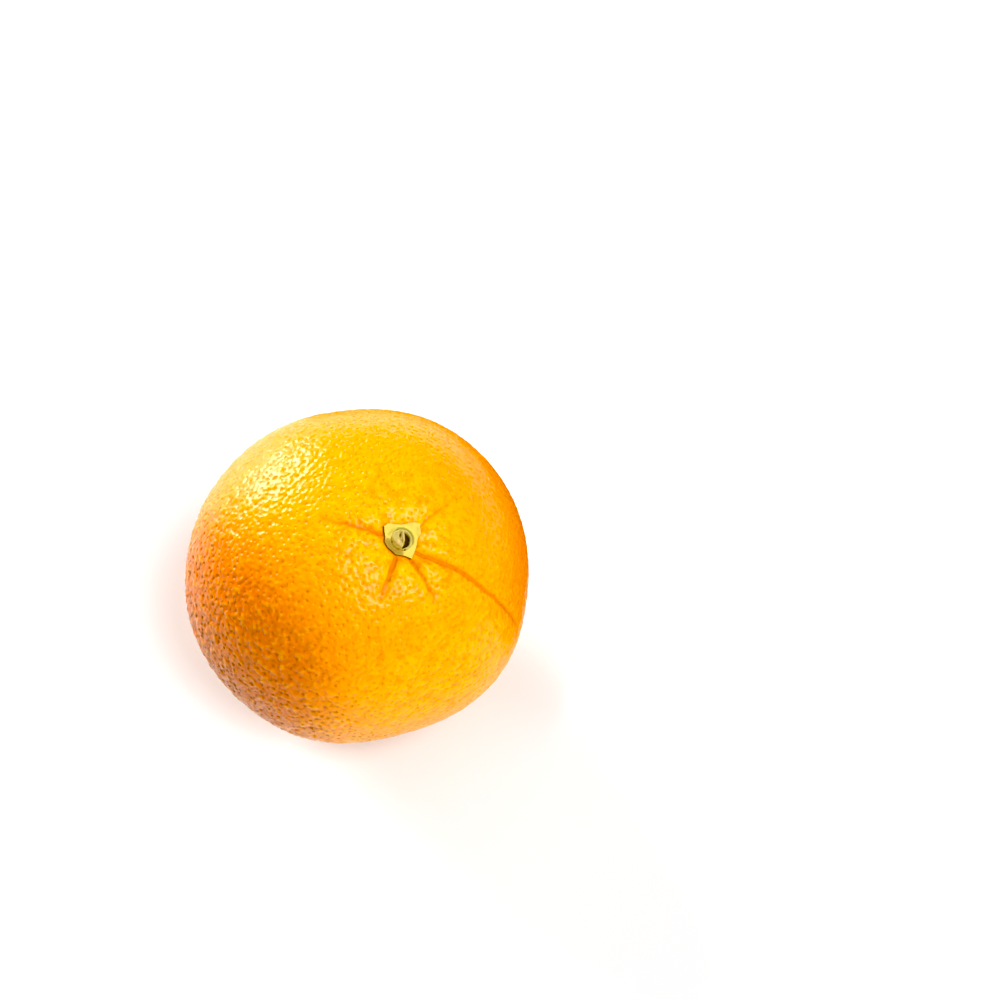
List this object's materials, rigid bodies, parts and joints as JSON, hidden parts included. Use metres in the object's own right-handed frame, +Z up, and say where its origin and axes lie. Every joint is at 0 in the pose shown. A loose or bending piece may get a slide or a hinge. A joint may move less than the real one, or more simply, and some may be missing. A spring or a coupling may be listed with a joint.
{
  "type": "orange",
  "caption": "Whole navel orange: dimpled peel creased round the stem end, star-shaped calyx with a short stem stub, a navel underneath, lying on a small flat spot.",
  "frame": {"origin": "on the table, under the middle of the fruit's bounding box", "axes": "+Z up. The fruit's own axis runs from the navel, underneath, to the stem end, which leans towards -Y by 14.5 degrees and towards +X by 18.8 degrees."},
  "size_m": [0.0802, 0.0792, 0.0769],
  "materials": {
    "peel": "waxy, dimpled citrus peel, half gloss",
    "sepal": "dry plant tissue, pale yellow-green, matte",
    "stub_wood": "dry woody stem, matte"
  },
  "bodies": {
    "root": {"fruit": "peel", "calyx": "sepal", "stem_stub": "stub_wood"}
  },
  "joints": []
}
